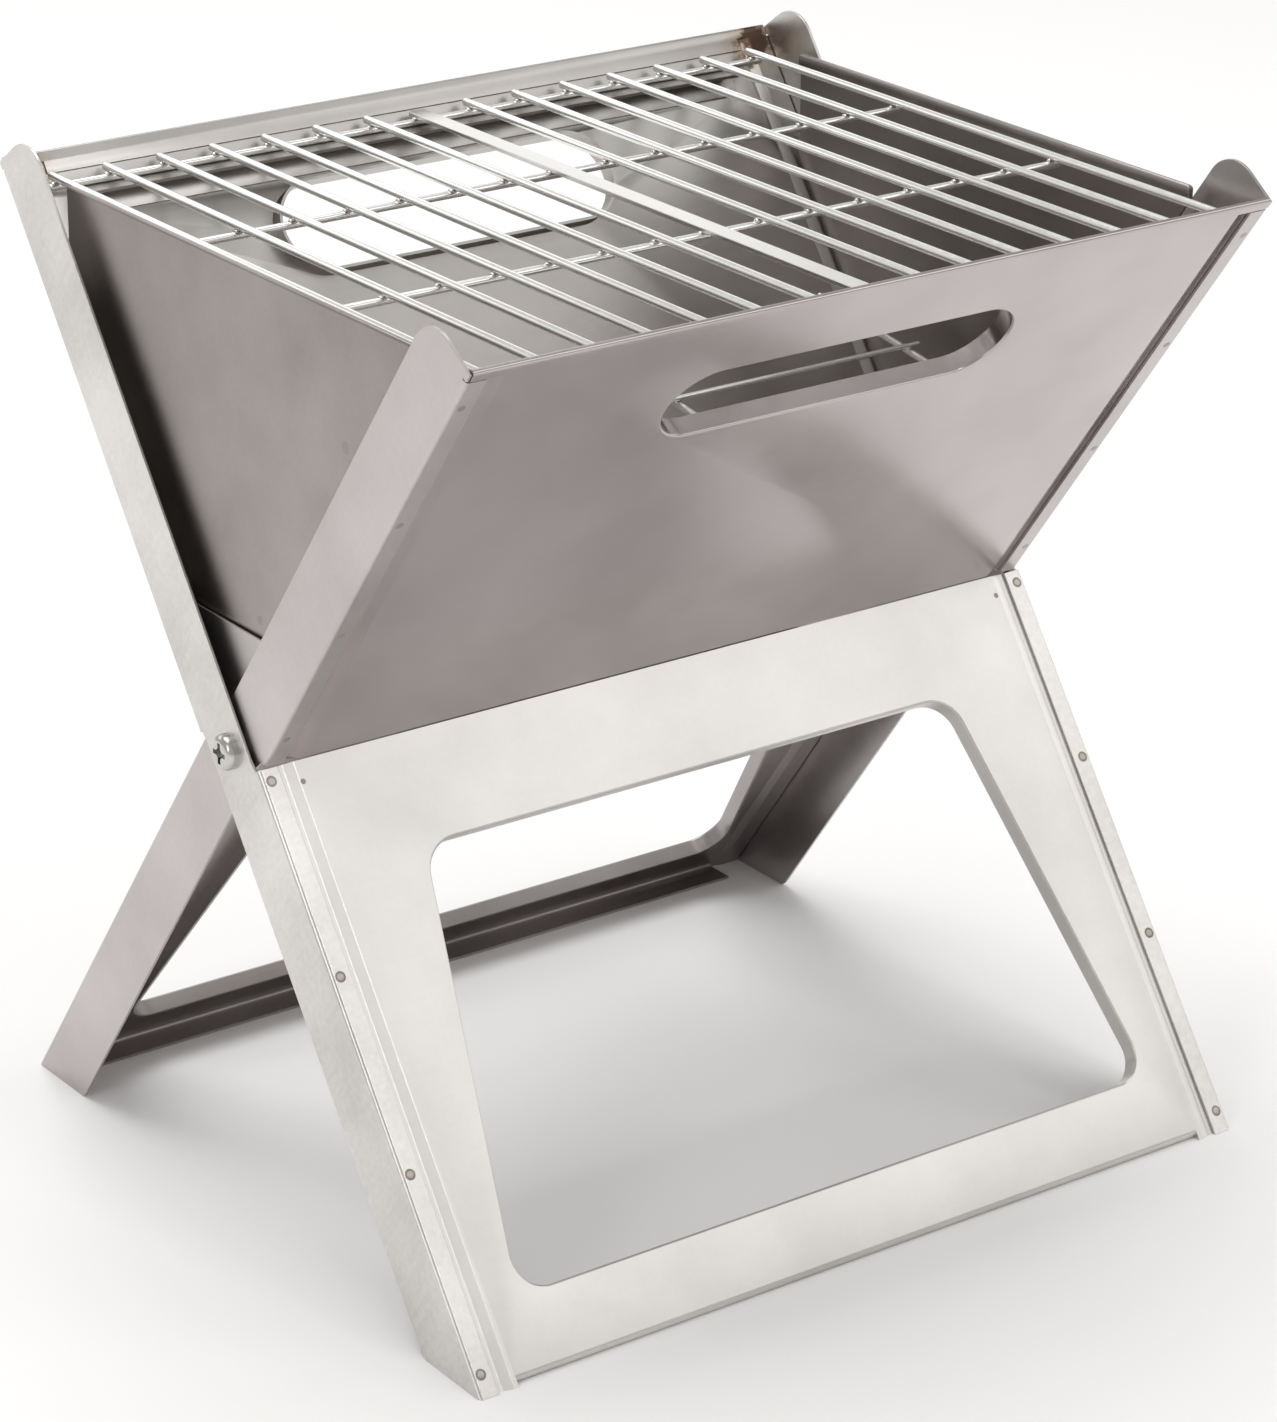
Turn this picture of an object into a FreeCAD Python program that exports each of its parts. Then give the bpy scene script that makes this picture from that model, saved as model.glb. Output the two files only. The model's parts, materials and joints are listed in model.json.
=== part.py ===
"""Folding camp grill: two crossing sheet frames on a pair of side screws, with a firebox between.

Each frame is drawn upright around the screw line and then leaned over. The outer frame carries
the rear wall and the front leg panel. The inner frame is the same frame, a little narrower and
mirrored front to back, so it carries the front wall and the rear leg panel.
Millimetres, X to the right, Y to the back, Z up, the grill stands on Z = 0.
"""

import math
import os

import FreeCAD
import Part

Vec = FreeCAD.Vector

# whole grill
LEAN = 36.0                 # each frame leans this far from upright when the grill is open
PIVOT_HEIGHT = 162.0        # screw line above the ground
SHEET = 1.0                 # steel sheet of the two frames
OUTER_HALF = 150.0          # half width over the outer arms
INNER_HALF = 147.9          # half width over the inner arms

# arms (the long side strips)
WALL_FACE = 13.8            # outer face of a wall from the screw line
LEG_FACE = 13.5             # outer face of a leg panel from the screw line
ARM_TOP = 201.0             # arm length above the screw line
ARM_EDGE_TOP = 10.5         # free edge of the upper half from the screw line
ARM_EDGE_FOOT = 11.0        # free edge of the lower half from the screw line
ARM_CORNER = 12.0           # rounding of the free corner at the top
FOOT_CORNER = 4.0           # rounding of the free corner at the foot
LIP = 7.0                   # width of the folded lip that carries a panel
LIP_TOP = 197.6             # the upper lip ends here, under the wall's hem
RELIEF = 0.5                # slit between the end of a lip and what lies beyond it
BEND = 1.5                  # outer bend radius
PANEL_GAP = 10.3            # panels stop this far from the screw line

# walls and leg panels
STEP_START = 12.5           # the panel starts to step in this far from the arm's outer face
STEP_END = 8.8              # and is fully under the lip here
WALL_TOP = 202.0
HEM = 8.0                   # folded hem along the wall top
SLOT_LENGTH = 128.0
SLOT_HEIGHT = 30.0
SLOT_CENTRE = 160.0
SLOT_FLANGE = 6.5
WINDOW_TOP = -45.5          # leg window, measured along the frame
WINDOW_FOOT = -184.0
WINDOW_TOP_HALF = 103.5
WINDOW_FOOT_HALF = 125.5
WINDOW_FLANGE = 6.0
FOOT_FLANGE = 14.0          # flange the leg panel stands on
LEDGE_HEIGHT = 146.2        # top of the ledge that carries the cooking grid, above the screw line
LEDGE_DEPTH = 12.5
LEDGE_HALF = 128.0

# screws
SHANK = 3.0                 # shank radius
BORE = 3.05                 # bore radius in every arm, spacer and washer
WASHER = 6.0                # washer and spacer radius
HEAD = 5.75
HEAD_HEIGHT = 3.4
RECESS_LENGTH = 6.8         # cross recess in the screw head
RECESS_WIDTH = 1.5
RECESS_DEPTH = 1.7
RECESS_CENTRE = 1.7         # radius of the round middle of the recess
PLAY = 0.05                 # clearance between faces that slide on each other
NUT_FLATS = 10.0
NUT_HEIGHT = 4.0

# cooking grid
BAR = 1.4                   # bar radius
BAR_HALF = 121.0
BAR_PITCH = 19.5
BARS_EACH_SIDE = 7
CENTRE_BAR_WIDTH = 6.6
CENTRE_BAR_THICK = 1.5
CROSS = 1.25                # cross wire radius
CROSS_HALF = 139.5
CROSS_AT = (-117.0, -40.0, 40.0, 117.0)

# charcoal grate
GRATE_HEIGHT = 67.0         # lowest point of the runners' centre line, above the screw line
GRATE_RISE = 8.0            # the runners rise from the middle at this angle
GRATE_WIRE = 1.0
GRATE_HALF = 133.5
GRATE_PITCH = 20.0
RUNNER = 1.25
RUNNER_HALF = 69.6
RUNNER_AT = (-130.0, -34.0, 34.0, 130.0)

# side panels and ash tray
SIDE_FACE = 143.5           # outer face of a side panel
SIDE_TOP = 153.4
SIDE_HALF = 98.4
SIDE_FRONT_DROP = 4.5
SIDE_REAR_EDGE = 10.4       # distance of the slanted rear edge from the screw line
SIDE_HEM = 7.0              # edge folded back on the inside along the top
TRAY_SHEET = 0.8
TRAY_FACE = 11.5            # outer face of the tray's sloping sides from the screw line
TRAY_FLOOR = 7.5
TRAY_TOP = 39.0
TRAY_HALF = 145.0

SIN = math.sin(math.radians(LEAN))
COS = math.cos(math.radians(LEAN))


# ---------------------------------------------------------------- outlines

def unit(start, end):
    """Direction from one flat point to another."""
    length = math.hypot(end[0] - start[0], end[1] - start[1])
    return (end[0] - start[0]) / length, (end[1] - start[1]) / length


def rounding(before, here, after):
    """Start, middle and end of the arc that rounds one corner."""
    back = unit(here, before)
    ahead = unit(here, after)
    half = 0.5 * math.acos(back[0] * ahead[0] + back[1] * ahead[1])
    run = here[2] / math.tan(half)
    middle = unit((0.0, 0.0), (back[0] + ahead[0], back[1] + ahead[1]))
    reach = here[2] / math.sin(half) - here[2]
    return (
        (here[0] + back[0] * run, here[1] + back[1] * run),
        (here[0] + middle[0] * reach, here[1] + middle[1] * reach),
        (here[0] + ahead[0] * run, here[1] + ahead[1] * run),
    )


def outline_face(points, place):
    """Flat face from corner points (a, b, corner radius); place() puts (a, b) into space."""
    edges = []
    last = None
    first = None
    count = len(points)
    for index, here in enumerate(points):
        if here[2] > 0:
            start, middle, end = rounding(points[index - 1], here, points[(index + 1) % count])
        else:
            start = end = here[:2]
        if last is not None:
            edges.append(Part.makeLine(place(*last), place(*start)))
        if first is None:
            first = start
        if here[2] > 0:
            edges.append(Part.Arc(place(*start), place(*middle), place(*end)).toShape())
        last = end
    edges.append(Part.makeLine(place(*last), place(*first)))
    return Part.Face(Part.Wire(edges))


def plate_x(points, x0, x1):
    """Outline in the side view, pulled along X."""
    face = outline_face(points, lambda a, b: Vec(x0, a, b))
    return face.extrude(Vec(x1 - x0, 0, 0))


def plate_y(points, y0, y1):
    """Outline in the front view, pulled along Y."""
    face = outline_face(points, lambda a, b: Vec(a, y0, b))
    return face.extrude(Vec(0, y1 - y0, 0))


def plate_z(points, z0, z1):
    """Outline in the top view, pulled along Z."""
    face = outline_face(points, lambda a, b: Vec(a, b, z0))
    return face.extrude(Vec(0, 0, z1 - z0))


def line_shift(start, end, distance):
    """One straight run moved to its left."""
    ux, uy = unit(start, end)
    return (start[0] - uy * distance, start[1] + ux * distance), (ux, uy)


def shift_path(points, distance):
    """Open path moved to its left by a distance, with its bend radii following."""
    runs = [line_shift(points[i], points[i + 1], distance) for i in range(len(points) - 1)]
    moved = [(runs[0][0][0], runs[0][0][1], 0.0)]
    for i in range(1, len(runs)):
        (px, py), (ux, uy) = runs[i - 1]
        (qx, qy), (vx, vy) = runs[i]
        turn = ux * vy - uy * vx
        along = ((qx - px) * vy - (qy - py) * vx) / turn
        radius = points[i][2] - math.copysign(distance, distance * turn)
        moved.append((px + ux * along, py + uy * along, max(radius, 0.0)))
    end = points[-1]
    _, (ux, uy) = runs[-1]
    moved.append((end[0] - uy * distance, end[1] + ux * distance, 0.0))
    return moved


def bent_sheet(path, thickness):
    """Closed outline of a folded sheet whose one face follows the path."""
    return list(path) + list(reversed(shift_path(path, thickness)))


def grown(points, distance):
    """Closed anticlockwise outline grown outwards all round."""
    ring = [points[-1]] + list(points) + [points[0]]
    moved = shift_path(ring, -distance)[1:-1]
    return [(a, b, old[2] + distance) for (a, b, _), old in zip(moved, points)]


def cylinder(radius, start, end):
    """Round bar between two points."""
    axis = Vec(*end) - Vec(*start)
    return Part.makeCylinder(radius, axis.Length, Vec(*start), axis)


# ---------------------------------------------------------------- placing

def lean(shape):
    """Lean a frame part back and lift it to the screw line."""
    placed = shape.copy()
    placed.rotate(Vec(0, 0, 0), Vec(1, 0, 0), -LEAN)
    placed.translate(Vec(0, 0, PIVOT_HEIGHT))
    return placed


def flip_front_to_back(shape):
    """Mirror across the middle plane of the grill."""
    return shape.mirror(Vec(0, 0, 0), Vec(0, 1, 0))


def flip_side(shape):
    """Mirror left to right."""
    return shape.mirror(Vec(0, 0, 0), Vec(1, 0, 0))


def raise_to_screw(shape):
    """Lift a part drawn around the screw line to its place."""
    placed = shape.copy()
    placed.translate(Vec(0, 0, PIVOT_HEIGHT))
    return placed


def foot_line(y):
    """Where the ground cuts a leaning frame, in the frame's own upright measure."""
    return (-PIVOT_HEIGHT + y * SIN) / COS


# ---------------------------------------------------------------- frame parts

def arm_web(half):
    """Flat of an arm, with its rounded top and the foot cut level with the ground."""
    upper = WALL_FACE - 2.0
    lower = -(LEG_FACE - 2.0)
    points = [
        (upper, LIP_TOP + RELIEF, 0.0),
        (WALL_FACE - 0.3, LIP_TOP + RELIEF, 0.0),
        (WALL_FACE - 0.3, ARM_TOP, 0.0),
        (-ARM_EDGE_TOP, ARM_TOP, ARM_CORNER),
        (-ARM_EDGE_TOP, -6.0, 3.0),
        (lower, -PANEL_GAP, 0.0),
        (lower, foot_line(lower), 0.0),
        (ARM_EDGE_FOOT, foot_line(ARM_EDGE_FOOT), FOOT_CORNER),
        (ARM_EDGE_FOOT, 6.0, 3.0),
        (upper, PANEL_GAP, 0.0),
    ]
    return plate_x(points, half - SHEET, half)


def arm_lip(half, face, z0, z1):
    """Folded edge of an arm, with the lip that covers the edge of a panel."""
    inward = math.copysign(2.4, face)
    path = [(half, face - inward, 0.0), (half, face, BEND), (half - LIP, face, 0.0)]
    turn = SHEET if face > 0 else -SHEET
    return plate_z(bent_sheet(path, turn), z0, z1)


def arm(half):
    """One arm on the right side, still upright."""
    body = arm_web(half)
    body = body.fuse(arm_lip(half, WALL_FACE, PANEL_GAP, LIP_TOP))
    body = body.fuse(arm_lip(half, -LEG_FACE, foot_line(-LEG_FACE) - 1.0, -PANEL_GAP))
    body = body.cut(cylinder(BORE, (half - 5, 0, 0), (half + 5, 0, 0)))
    return body.removeSplitter()


def stepped_panel(half, face, z0, z1):
    """Sheet between two arms whose side edges step in under the lips."""
    under = math.copysign(abs(face) - SHEET, face)
    edge = half - SHEET - 0.4
    path = [
        (-edge, under, 0.0),
        (-(half - STEP_END), under, 2.0),
        (-(half - STEP_START), face, 2.0),
        (half - STEP_START, face, 2.0),
        (half - STEP_END, under, 2.0),
        (edge, under, 0.0),
    ]
    return plate_z(bent_sheet(path, -math.copysign(SHEET, face)), z0, z1)


def slot_outline():
    """Handle slot with fully rounded ends, anticlockwise."""
    half = 0.5 * SLOT_LENGTH
    radius = 0.5 * SLOT_HEIGHT - 0.01
    low = SLOT_CENTRE - 0.5 * SLOT_HEIGHT
    high = SLOT_CENTRE + 0.5 * SLOT_HEIGHT
    return [(-half, low, radius), (half, low, radius), (half, high, radius), (-half, high, radius)]


def window_outline():
    """Wide window in a leg panel, anticlockwise."""
    return [
        (-WINDOW_FOOT_HALF, WINDOW_FOOT, 10.0),
        (WINDOW_FOOT_HALF, WINDOW_FOOT, 10.0),
        (WINDOW_TOP_HALF, WINDOW_TOP, 12.0),
        (-WINDOW_TOP_HALF, WINDOW_TOP, 12.0),
    ]


def flange_hole(panel, outline, face, depth):
    """Cut an opening and turn its edge inwards all round, with a soft bend on the outside."""
    inward = -math.copysign(1.0, face)
    ring = plate_y(grown(outline, SHEET), face, face + inward * depth)
    hole = plate_y(outline, face - inward * 2.0, face + inward * (depth + 2.0))
    body = panel.fuse(ring).cut(hole).removeSplitter()
    rim = []
    for edge in body.Edges:
        box = edge.BoundBox
        flat = abs(box.YMin - face) < 0.01 and abs(box.YMax - face) < 0.01
        low = min(point[1] for point in outline)
        high = max(point[1] for point in outline)
        wide = max(point[0] for point in outline)
        inside = box.XMax < wide + 0.5 and box.XMin > -wide - 0.5
        inside = inside and box.ZMin > low - 0.5 and box.ZMax < high + 0.5
        if flat and inside:
            rim.append(edge)
    return body.makeFillet(0.8, rim)


def ledge(half):
    """Folded angle inside a wall whose level shelf carries the cooking grid."""
    inner = WALL_FACE - SHEET
    root = (LEDGE_HEIGHT + inner * SIN) / COS
    path = [
        (inner, root - 11.5, 0.0),
        (inner, root, BEND),
        (inner - LEDGE_DEPTH * COS, root - LEDGE_DEPTH * SIN, 0.0),
    ]
    reach = LEDGE_HALF - (OUTER_HALF - half)
    return plate_x(bent_sheet(path, SHEET), -reach, reach)


def hem(low, reach):
    """Folded double edge along the top of a wall, from a height up."""
    edge = 0.95 * SHEET
    points = [
        (WALL_FACE, low, 0.0),
        (WALL_FACE, WALL_TOP, edge),
        (WALL_FACE - 2 * SHEET, WALL_TOP, edge),
        (WALL_FACE - 2 * SHEET, low, 0.0),
    ]
    return plate_x(points, -reach, reach)


def wall(half):
    """Sloping wall with a hemmed top, the handle slot and the grid ledge."""
    band = LIP_TOP + RELIEF
    sheet = stepped_panel(half, WALL_FACE, PANEL_GAP, band)
    body = flange_hole(sheet, slot_outline(), WALL_FACE, SLOT_FLANGE)
    body = body.fuse(hem(WALL_TOP - HEM, half - STEP_START - 1.5))
    body = body.fuse(hem(band, half - SHEET - 0.2))
    return body.fuse(ledge(half)).removeSplitter()


def leg_panel(half):
    """Leg panel with its window and the flange it stands on."""
    foot = foot_line(-LEG_FACE)
    reach = half - STEP_START - 1.5
    fold_start = foot + 4.6
    deep = 20.0
    sheet = stepped_panel(half, -LEG_FACE, foot - 2.0, -PANEL_GAP)
    below_fold = Part.makeBox(2 * reach, deep, deep, Vec(-reach, -LEG_FACE - 0.5 * deep, fold_start - deep))
    body = flange_hole(sheet.cut(below_fold), window_outline(), -LEG_FACE, WINDOW_FLANGE)
    path = [
        (-LEG_FACE, foot + 6.0, 0.0),
        (-LEG_FACE, foot, 2.0),
        (-LEG_FACE + FOOT_FLANGE * COS, foot + FOOT_FLANGE * SIN, 0.0),
    ]
    return body.fuse(plate_x(bent_sheet(path, SHEET), -reach, reach)).removeSplitter()


def level_foot(shape):
    """Trim anything a leaned part would push into the ground."""
    return shape.cut(Part.makeBox(400, 400, 50, Vec(-200, -200, -50)))


def frame_parts(half, prefix, wall_name, leg_name):
    """The two arms, the wall and the leg panel of one frame, leaned into place."""
    right = level_foot(lean(arm(half)))
    return {
        prefix + "_arm_right": right,
        prefix + "_arm_left": flip_side(right),
        wall_name: lean(wall(half)),
        leg_name: level_foot(lean(leg_panel(half))),
    }


# ---------------------------------------------------------------- screws

def washer(x0, x1, radius):
    """Flat ring round the screw."""
    ring = cylinder(radius, (x0, 0, 0), (x1, 0, 0))
    return ring.cut(cylinder(BORE, (x0 - 1, 0, 0), (x1 + 1, 0, 0)))


def pivot_screw():
    """Pan head screw with a cross recess, on the right side."""
    face = OUTER_HALF
    profile = [
        (0.0, face, 0.0),
        (HEAD, face, 0.0),
        (HEAD, face + HEAD_HEIGHT, 2.4),
        (0.0, face + HEAD_HEIGHT, 0.0),
    ]
    half = outline_face(profile, lambda a, b: Vec(b, a, 0))
    head = half.revolve(Vec(0, 0, 0), Vec(1, 0, 0), 360)
    shank = cylinder(SHANK, (INNER_HALF - SHEET - 6.0, 0, 0), (face + 0.5, 0, 0))
    body = head.fuse(shank)
    deep = face + HEAD_HEIGHT - RECESS_DEPTH
    past = 2 * RECESS_DEPTH
    for width, height in ((RECESS_LENGTH, RECESS_WIDTH), (RECESS_WIDTH, RECESS_LENGTH)):
        slot = Part.makeBox(past, width, height, Vec(deep, -0.5 * width, -0.5 * height))
        body = body.cut(slot)
    body = body.cut(cylinder(RECESS_CENTRE, (deep, 0, 0), (deep + past, 0, 0)))
    return body.removeSplitter()


def lock_nut():
    """Thin hexagon lock nut with a round collar, on the right side."""
    outer_end = INNER_HALF - SHEET - PLAY - SHEET
    inner_end = outer_end - NUT_HEIGHT
    corner = 0.5 * NUT_FLATS / math.cos(math.radians(30))
    points = []
    for step in range(6):
        turn = math.radians(60 * step)
        points.append((corner * math.cos(turn), corner * math.sin(turn), 0.0))
    hexagon = plate_x(points, inner_end + 1.0, outer_end)
    collar = cylinder(0.5 * NUT_FLATS - 0.4, (inner_end, 0, 0), (inner_end + 1.0, 0, 0))
    return hexagon.fuse(collar).cut(cylinder(SHANK, (inner_end - 1, 0, 0), (outer_end + 1, 0, 0)))


def pivot_parts():
    """Screw, spacer, washer and nut on each side."""
    gap_outer = OUTER_HALF - SHEET
    gap_inner = INNER_HALF + PLAY
    inner_face = INNER_HALF - SHEET - PLAY
    right = {
        "pivot_screw": pivot_screw(),
        "pivot_spacer": washer(gap_inner, gap_outer, WASHER),
        "pivot_washer": washer(inner_face - SHEET, inner_face, WASHER),
        "pivot_lock_nut": lock_nut(),
    }
    parts = {}
    for name, shape in right.items():
        placed = raise_to_screw(shape)
        parts[name + "_right"] = placed
        parts[name + "_left"] = flip_side(placed)
    return parts


# ---------------------------------------------------------------- grid and grate

def grid_parts():
    """Cooking grid: round bars front to back over four cross wires, one flat bar in the middle."""
    wire_z = LEDGE_HEIGHT + CROSS
    bar_z = wire_z + CROSS + BAR
    bars = []
    for step in range(1, BARS_EACH_SIDE + 1):
        for side in (-1, 1):
            x = side * step * BAR_PITCH
            bars.append(cylinder(BAR, (x, -BAR_HALF, bar_z), (x, BAR_HALF, bar_z)))
    flat = Part.makeBox(
        CENTRE_BAR_WIDTH,
        2 * BAR_HALF,
        CENTRE_BAR_THICK,
        Vec(-0.5 * CENTRE_BAR_WIDTH, -BAR_HALF, wire_z + CROSS),
    )
    ends = [edge for edge in flat.Edges if abs(edge.BoundBox.ZMax - edge.BoundBox.ZMin) > 1.0]
    parts = {
        "grid_bars": raise_to_screw(Part.makeCompound(bars)),
        "grid_centre_bar": raise_to_screw(flat.makeFillet(1.5, ends)),
    }
    for number, y in enumerate(CROSS_AT, start=1):
        wire = cylinder(CROSS, (-CROSS_HALF, y, wire_z), (CROSS_HALF, y, wire_z))
        parts["grid_cross_wire_%d" % number] = raise_to_screw(wire)
    return parts


def runner_height(y):
    """Height of a runner's centre line, which is a shallow V."""
    return GRATE_HEIGHT + abs(y) * math.tan(math.radians(GRATE_RISE))


def runner(x):
    """One short wire bent to a shallow V."""
    middle = (x, 0, GRATE_HEIGHT)
    body = Part.makeSphere(RUNNER, Vec(*middle))
    for y in (-RUNNER_HALF, RUNNER_HALF):
        body = body.fuse(cylinder(RUNNER, middle, (x, y, runner_height(y))))
    return body


def grate_parts():
    """Charcoal grate: long wires across the firebox on four bent runners."""
    over = (GRATE_WIRE + RUNNER) / math.cos(math.radians(GRATE_RISE))
    long_wires = []
    for step in range(-3, 4):
        y = step * GRATE_PITCH
        z = runner_height(y) + over
        long_wires.append(cylinder(GRATE_WIRE, (-GRATE_HALF, y, z), (GRATE_HALF, y, z)))
    return {
        "grate_long_wires": raise_to_screw(Part.makeCompound(long_wires)),
        "grate_runners": raise_to_screw(Part.makeCompound([runner(x) for x in RUNNER_AT])),
    }


# ---------------------------------------------------------------- side panels and ash tray

def slope_point(face, z):
    """Y of a line parallel to the rear wall, at a height above the screw line."""
    along = (z + face * SIN) / COS
    return face * COS + along * SIN


def side_panel():
    """Flat side of the firebox on the right, standing in the ash tray."""
    foot = TRAY_FLOOR + TRAY_SHEET + 0.3
    front_z = SIDE_TOP - SIDE_FRONT_DROP
    front_foot = -SIDE_HALF + (front_z - foot) * SIN / COS
    bend_z = (SIDE_HALF - SIDE_REAR_EDGE * COS) * COS / SIN - SIDE_REAR_EDGE * SIN
    points = [
        (slope_point(SIDE_REAR_EDGE, foot), foot, 1.0),
        (SIDE_HALF, bend_z, 2.0),
        (SIDE_HALF, SIDE_TOP, 1.5),
        (-SIDE_HALF, SIDE_TOP, 1.5),
        (-SIDE_HALF, front_z, 1.5),
        (front_foot, foot, 1.0),
    ]
    fold = [
        (SIDE_FACE, SIDE_TOP - SIDE_HEM, 0.0),
        (SIDE_FACE, SIDE_TOP, 0.95 * SHEET),
        (SIDE_FACE - 2 * SHEET, SIDE_TOP, 0.95 * SHEET),
        (SIDE_FACE - 2 * SHEET, SIDE_TOP - SIDE_HEM, 0.0),
    ]
    thick = plate_x(points, SIDE_FACE - 2 * SHEET, SIDE_FACE)
    corner = Vec(SIDE_FACE - 3 * SHEET, -2 * SIDE_HALF, 0)
    low = Part.makeBox(4 * SHEET, 4 * SIDE_HALF, SIDE_TOP - SIDE_HEM, corner)
    sheet = thick.common(low).cut(plate_x(points, SIDE_FACE - 3 * SHEET, SIDE_FACE - SHEET))
    hemmed = thick.common(plate_y(fold, -2 * SIDE_HALF, 2 * SIDE_HALF))
    return raise_to_screw(sheet.fuse(hemmed).removeSplitter())


def ash_tray():
    """Trough that closes the gap between the walls, with an upright plate at each end."""
    top_y = slope_point(TRAY_FACE, TRAY_TOP)
    floor_y = slope_point(TRAY_FACE, TRAY_FLOOR)
    path = [
        (-top_y, TRAY_TOP, 0.0),
        (-floor_y, TRAY_FLOOR, 1.6),
        (floor_y, TRAY_FLOOR, 1.6),
        (top_y, TRAY_TOP, 0.0),
    ]
    body = plate_x(bent_sheet(path, TRAY_SHEET), -TRAY_HALF, TRAY_HALF)
    for x0 in (-TRAY_HALF, TRAY_HALF - TRAY_SHEET):
        body = body.fuse(plate_x(path, x0, x0 + TRAY_SHEET))
    return raise_to_screw(body.removeSplitter())


# ---------------------------------------------------------------- whole grill

def build():
    """Every named part of the grill, standing open."""
    parts = frame_parts(OUTER_HALF, "outer", "rear_wall", "front_leg_panel")
    inner = frame_parts(INNER_HALF, "inner", "front_wall", "rear_leg_panel")
    for name, shape in inner.items():
        parts[name] = flip_front_to_back(shape)
    parts.update(pivot_parts())
    parts.update(grid_parts())
    parts.update(grate_parts())
    right_side = side_panel()
    parts["side_panel_right"] = right_side
    parts["side_panel_left"] = flip_side(right_side)
    parts["ash_tray"] = ash_tray()
    return parts


def main():
    os.makedirs("parts", exist_ok=True)
    for name, shape in build().items():
        shape.exportStep("parts/" + name + ".step")
        box = shape.BoundBox
        size = "%.1f x %.1f x %.1f" % (box.XLength, box.YLength, box.ZLength)
        print(name, len(shape.Solids), shape.isValid(), size)


main()
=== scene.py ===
import json
import math

import bmesh
import bpy
from mathutils import Matrix, Vector


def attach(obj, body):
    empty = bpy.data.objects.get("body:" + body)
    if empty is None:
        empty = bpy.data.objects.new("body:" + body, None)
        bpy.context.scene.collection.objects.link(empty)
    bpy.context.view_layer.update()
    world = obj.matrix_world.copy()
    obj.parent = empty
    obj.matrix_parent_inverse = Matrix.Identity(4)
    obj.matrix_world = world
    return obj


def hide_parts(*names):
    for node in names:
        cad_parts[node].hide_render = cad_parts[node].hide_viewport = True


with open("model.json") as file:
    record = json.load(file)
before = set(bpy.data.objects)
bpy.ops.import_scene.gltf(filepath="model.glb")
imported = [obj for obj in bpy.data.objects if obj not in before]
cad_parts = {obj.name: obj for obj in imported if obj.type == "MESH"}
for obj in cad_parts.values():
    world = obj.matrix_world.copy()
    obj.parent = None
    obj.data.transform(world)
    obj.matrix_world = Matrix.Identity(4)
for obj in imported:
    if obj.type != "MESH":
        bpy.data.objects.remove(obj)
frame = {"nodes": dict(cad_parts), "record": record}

MM = 0.001
LEAN = math.radians(36.0)       # each frame leans this far from upright
PIVOT = Vector((0.0, 0.0, 0.162))
WALL_FACE = 0.0138              # outer face of a wall from the screw line
LEG_FACE = 0.0135               # outer face of a leg panel from the screw line
OUTER_HALF = 0.150              # half the width of each frame
INNER_HALF = 0.1479

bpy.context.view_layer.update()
BODY_OF = {
    node: body
    for body, nodes in frame["record"]["behaviour"]["bodies"].items()
    for node in nodes
}


# ---------------------------------------------------------------- node helpers

def put(tree, kind, inputs=None, **settings):
    """Add a node, set its options, then fill or link its sockets."""
    made = tree.nodes.new(kind)
    for key, value in settings.items():
        setattr(made, key, value)
    for key, value in (inputs or {}).items():
        socket = made.inputs[key]
        if isinstance(value, bpy.types.NodeSocket):
            tree.links.new(value, socket)
        else:
            socket.default_value = value
    return made


def maths(tree, operation, a, b=0.0, clamp=False):
    """One Math node and its result."""
    made = put(tree, "ShaderNodeMath", {0: a, 1: b}, operation=operation, use_clamp=clamp)
    return made.outputs[0]


def vector_maths(tree, operation, inputs, result="Vector"):
    """One Vector Math node and its result."""
    return put(tree, "ShaderNodeVectorMath", inputs, operation=operation).outputs[result]


def spread(tree, value, low, high, to_low, to_high):
    """Map a range of values to another, held inside it."""
    ranged = put(tree, "ShaderNodeMapRange", {
        "Value": value, "From Min": low, "From Max": high, "To Min": to_low, "To Max": to_high,
    })
    return ranged.outputs["Result"]


def tint(tree, amount, first, second):
    """Mix two colours by an amount."""
    mix = put(tree, "ShaderNodeMix", {0: amount, 6: first, 7: second}, data_type="RGBA")
    return mix.outputs[2]


def speckle(tree, place, scale, detail=2.0, rough=0.5):
    """Noise value at a place."""
    made = put(tree, "ShaderNodeTexNoise", {
        "Vector": place, "Scale": scale, "Detail": detail, "Roughness": rough,
    })
    return made.outputs[0]


def rgb(red, green, blue):
    """Opaque colour."""
    return (red, green, blue, 1.0)


def new_group(name, inputs, outputs):
    """Shader node group with named sockets, then its input and output nodes."""
    group = bpy.data.node_groups.new(name, "ShaderNodeTree")
    for label, kind, value in inputs:
        socket = group.interface.new_socket(label, in_out="INPUT", socket_type="NodeSocket" + kind)
        if value is not None:
            socket.default_value = value
    for label, kind in outputs:
        group.interface.new_socket(label, in_out="OUTPUT", socket_type="NodeSocket" + kind)
    return group, put(group, "NodeGroupInput"), put(group, "NodeGroupOutput")


# ---------------------------------------------------------------- shared effects

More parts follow.
